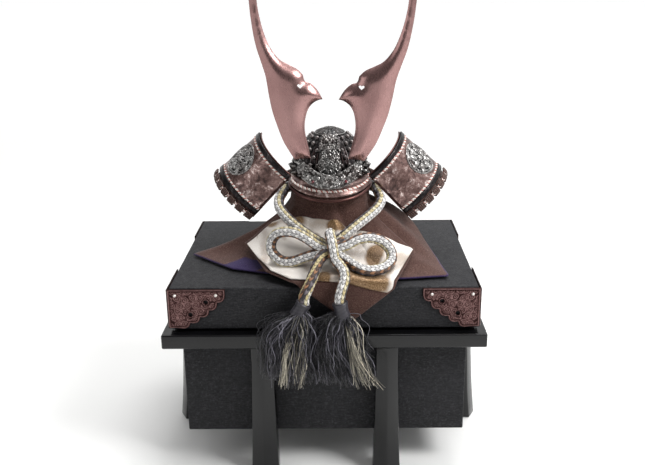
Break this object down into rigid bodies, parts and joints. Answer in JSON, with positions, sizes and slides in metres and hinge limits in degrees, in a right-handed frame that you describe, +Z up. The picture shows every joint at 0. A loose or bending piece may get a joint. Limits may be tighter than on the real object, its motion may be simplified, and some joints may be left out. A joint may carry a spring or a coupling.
{
  "type": "kabuto samurai helmet on a cloth-draped stand and legged chest",
  "caption": "Ornamental samurai helmet with tall horns, curled side plates and a tied, tasselled chin cord, on a cloth-draped post over a lacquered legged chest.",
  "frame": {"origin": "on the floor under the middle of the chest, at the centre of the box that its legs stand in", "axes": "+Z up, -Y out of the front of the helmet and the chest, +X to the right as the front is seen"},
  "size_m": [0.374, 0.3045, 0.5834],
  "materials": {
    "chest_cloth": "dark grey linen-textured covering",
    "black_lacquer": "glossy black lacquer",
    "copper_fitting": "aged reddish copper relief",
    "post_wood": "plain turned wood",
    "brown_crepe": "brown crepe with a purple lining",
    "brocade": "ivory and gold brocade over brown crepe",
    "dark_metal": "dark patinated metal",
    "silver_relief": "antiqued silver relief",
    "rose_metal": "satin pinkish copper",
    "mottled_leather": "mottled brown leather print",
    "edging_cord": "red and white twisted edging",
    "red_stone": "dark red stone",
    "brown_lacing": "brown silk lacing",
    "braid": "round braid of white, gold, copper and purple-black",
    "silk": "grey-black silk with cream strands"
  },
  "bodies": {
    "root": {"chest_body": "chest_cloth", "chest_rim": "black_lacquer", "chest_lid": "chest_cloth", "leg_front_left": "black_lacquer", "leg_front_right": "black_lacquer", "leg_right": "black_lacquer", "leg_back_right": "black_lacquer", "leg_back_left": "black_lacquer", "leg_left": "black_lacquer", "corner_fitting_front_left": "copper_fitting", "corner_fitting_front_right": "copper_fitting", "corner_fitting_back_left": "copper_fitting", "corner_fitting_back_right": "copper_fitting", "stand_post": "post_wood", "cloth_wings": "brown_crepe", "cloth_flap": "brocade", "bowl": "dark_metal", "crown_cap": "silver_relief", "front_plate": "silver_relief", "visor": "mottled_leather", "visor_edging": "edging_cord", "visor_rim": "rose_metal", "horn_base": "silver_relief", "base_stone_left": "red_stone", "base_stone_right": "red_stone", "horn_right": "rose_metal", "horn_left": "rose_metal", "turnback_plate_right": "dark_metal", "turnback_plate_left": "dark_metal", "turnback_leather_right": "mottled_leather", "turnback_leather_left": "mottled_leather", "turnback_crest_right": "silver_relief", "turnback_crest_left": "silver_relief", "lame_lacing_right": "brown_lacing", "lame_lacing_left": "brown_lacing", "neck_lame_1": "dark_metal", "neck_lame_2": "dark_metal", "neck_lame_3": "dark_metal", "neck_lame_4": "dark_metal", "cord_neck_loop": "braid", "cord_bow_left": "braid", "cord_bow_right": "braid", "cord_knot": "braid", "cord_tail_left": "braid", "cord_tail_right": "braid", "tassel_left": "silk", "tassel_right": "silk"}
  },
  "joints": []
}
